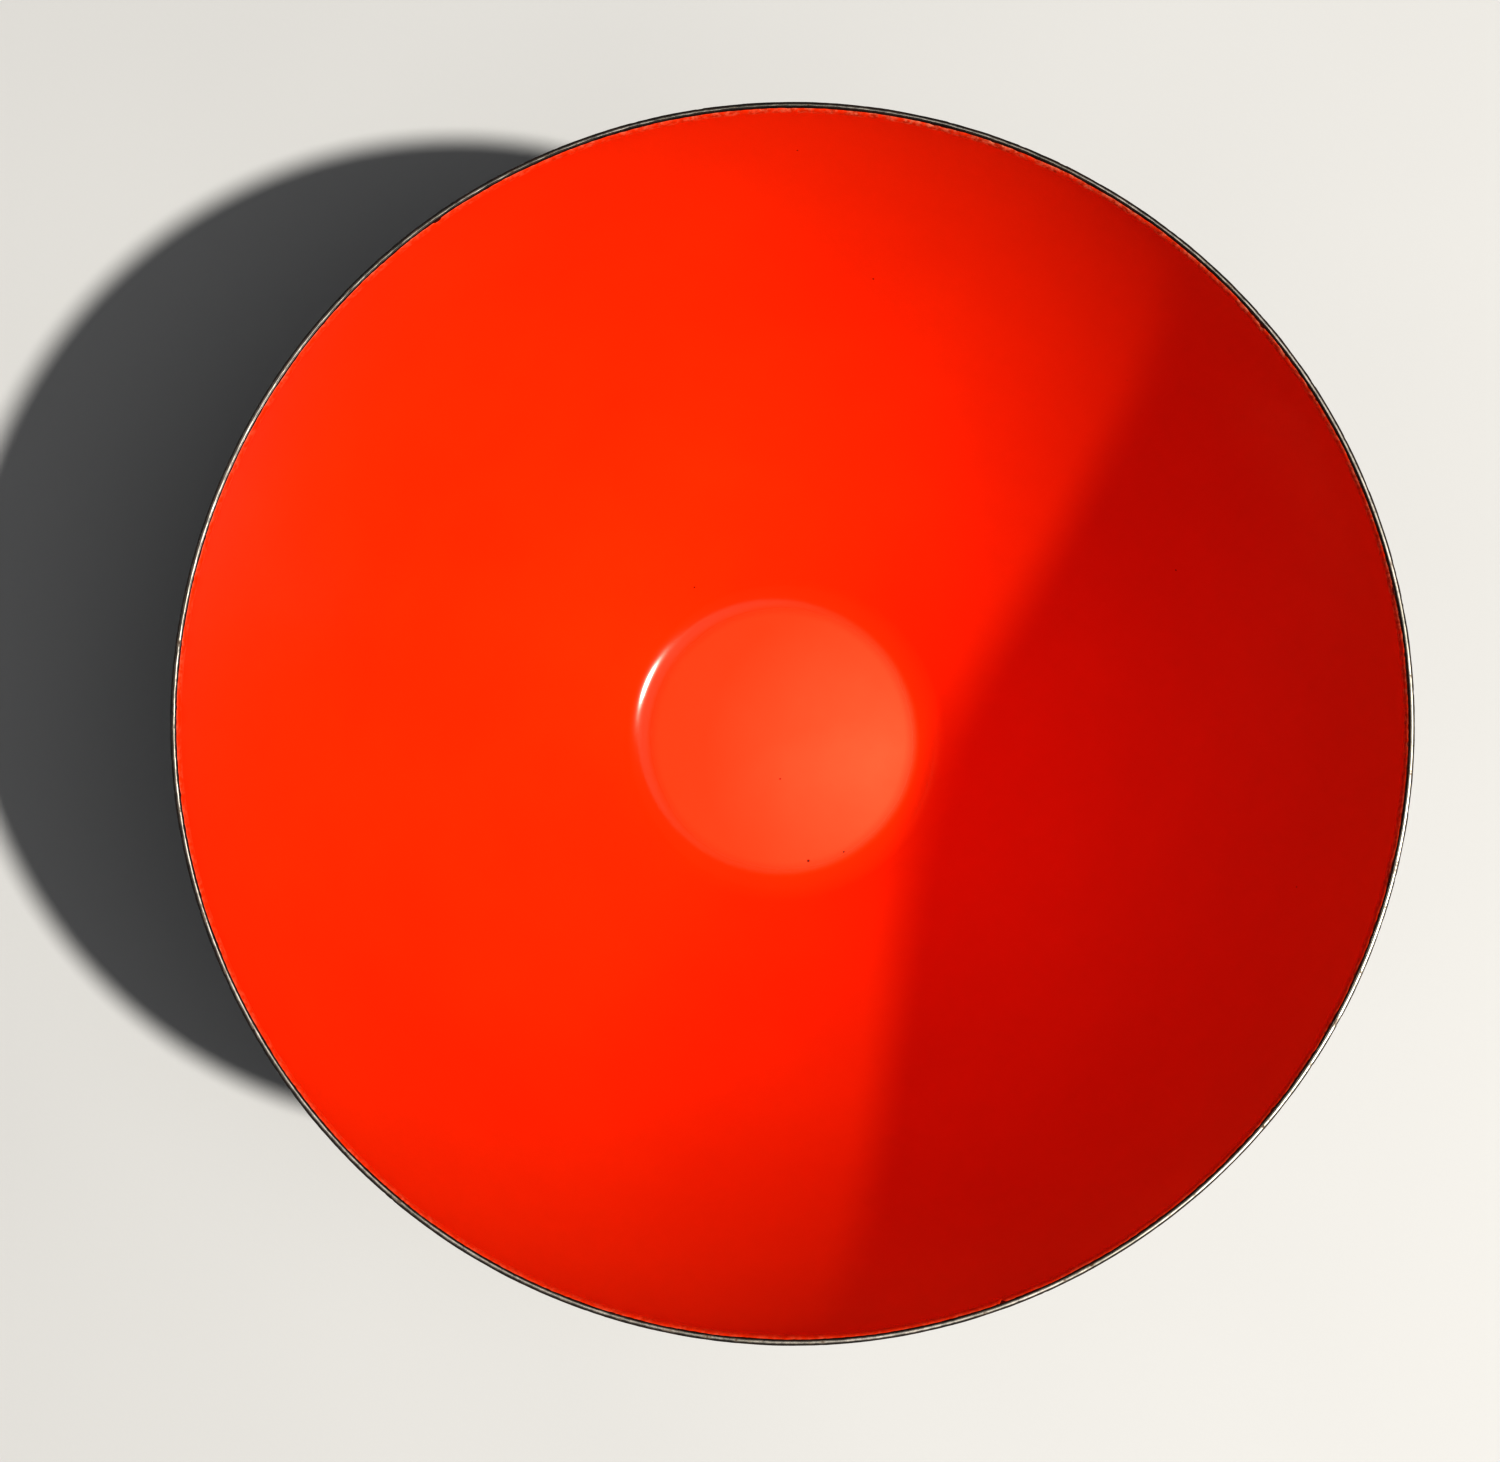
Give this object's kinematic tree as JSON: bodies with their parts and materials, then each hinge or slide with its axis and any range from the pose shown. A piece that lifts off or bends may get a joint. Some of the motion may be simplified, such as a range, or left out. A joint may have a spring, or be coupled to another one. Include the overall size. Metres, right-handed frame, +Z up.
{
  "type": "enamelled steel bowl",
  "caption": "Deep round steel bowl on a small flat foot, glossy orange-red enamel inside, black enamel outside, bare metal edge at the lip.",
  "frame": {"origin": "centre of the flat foot, on the surface that the bowl stands on", "axes": "+Z up the bowl's axis to the open mouth; X and Y are free, because the bowl is round"},
  "size_m": [0.2498, 0.2498, 0.14],
  "materials": {
    "bare_steel": "ground edge, worn and slightly stained",
    "ground_enamel": "dark fired ground coat, semi-gloss",
    "red_enamel": "gloss vitreous enamel with a faint orange-peel surface",
    "black_enamel": "matte vitreous enamel with a fine grain"
  },
  "bodies": {
    "root": {"steel_shell": "bare_steel", "inner_ground_coat": "ground_enamel", "outer_ground_coat": "ground_enamel", "inner_cover_coat": "red_enamel", "outer_cover_coat": "black_enamel"}
  },
  "joints": []
}
